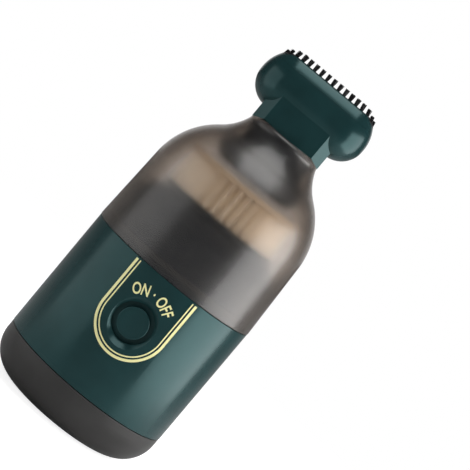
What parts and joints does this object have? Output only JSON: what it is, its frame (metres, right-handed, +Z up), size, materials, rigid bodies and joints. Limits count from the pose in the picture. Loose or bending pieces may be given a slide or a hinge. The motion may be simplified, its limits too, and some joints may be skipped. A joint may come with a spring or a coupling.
{
  "type": "handheld vacuum cleaner",
  "caption": "Upright pocket vacuum with a translucent dust cup, pleated filter, push button, gold line trim and a wide brush nozzle on top.",
  "frame": {"origin": "centre of the foot ring's lower face, on the drum's axis, at the surface it stands on", "axes": "+Z up along the drum's axis to the brush, -Y out of the button face, +X to the right seen from the front"},
  "size_m": [0.0662, 0.0662, 0.1509],
  "materials": {
    "green_plastic": "satin moulded, dark bottle green",
    "charcoal_plastic": "satin moulded, charcoal",
    "inner_plastic": "plain moulded, black",
    "smoky_clear": "translucent smoky, lightly frosted",
    "gold_trim": "pale gold, satin",
    "black_rubber": "matt",
    "filter_paper": "pleated, tan",
    "cream_plastic": "satin, tan",
    "bristle_nylon": "black filament",
    "zinc_steel": "zinc plated",
    "magnet_ferrite": "dull grey",
    "bronze": "sintered",
    "nickel": "bright nickel",
    "cell_wrap": "blue shrink sleeve over the can",
    "board_laminate": "green solder mask",
    "light_guide": "clear",
    "exhaust_foam": "open foam",
    "lead_wire": "soft insulation"
  },
  "bodies": {
    "drum": {"base_cap": "charcoal_plastic", "base_screws": "zinc_steel", "board_parts": "board_laminate", "board_screws": "zinc_steel", "cell_cradle": "inner_plastic", "cell_leads": "lead_wire", "cell_left": "cell_wrap", "cell_right": "cell_wrap", "cell_tabs": "nickel", "charge_socket": "inner_plastic", "control_board": "board_laminate", "cover_screws": "zinc_steel", "cup_seal": "black_rubber", "drum_shell": "green_plastic", "exhaust_foam": "exhaust_foam", "fan_housing": "inner_plastic", "fan_shroud": "inner_plastic", "filter_gasket": "black_rubber", "foot_ring": "black_rubber", "light_pipe": "light_guide", "motor_brushes": "bronze", "motor_bushes": "bronze", "motor_can": "zinc_steel", "motor_cover": "charcoal_plastic", "motor_end_cap": "inner_plastic", "motor_leads": "lead_wire", "motor_magnets": "magnet_ferrite", "motor_screws": "zinc_steel", "side_board": "board_laminate", "socket_leads": "lead_wire", "socket_pin": "nickel", "switch_body": "inner_plastic", "trim_inner": "gold_trim", "trim_outer": "gold_trim"},
    "power_button": {"power_button": "green_plastic", "switch_plunger": "inner_plastic"},
    "dust_cup": {"dust_cup": "smoky_clear", "inlet_bell": "charcoal_plastic"},
    "brush_head": {"brush_head": "green_plastic", "mouth_plate": "green_plastic", "neck_o_ring": "black_rubber", "bristles_front": "bristle_nylon", "bristles_back": "bristle_nylon", "bristles_left": "bristle_nylon", "bristles_right": "bristle_nylon"},
    "filter": {"filter_base": "charcoal_plastic", "filter_pleats": "filter_paper", "filter_cap": "cream_plastic"},
    "rotor": {"motor_shaft": "zinc_steel", "impeller": "inner_plastic", "armature": "zinc_steel", "commutator": "bronze"}
  },
  "joints": [
    {"name": "button_press", "type": "slide", "parent": "drum", "child": "power_button", "axis": [0, 1, 0], "range_m": [0, 0.001], "stiffness_N_per_m": 400},
    {"name": "cup_lift", "type": "slide", "parent": "drum", "child": "dust_cup", "axis": [0, 0, 1], "range_m": [0, 0.045]},
    {"name": "brush_pull", "type": "slide", "parent": "dust_cup", "child": "brush_head", "axis": [0, 0, 1], "range_m": [0, 0.014]},
    {"name": "filter_twist", "type": "hinge", "parent": "drum", "child": "filter", "pos_m": [0, 0, 0.0888], "axis": [0, 0, 1], "range_deg": [0, 30]},
    {"name": "fan_spin", "type": "hinge", "parent": "drum", "child": "rotor", "pos_m": [0, 0, 0.0668], "axis": [0, 0, 1], "continuous": true}
  ]
}
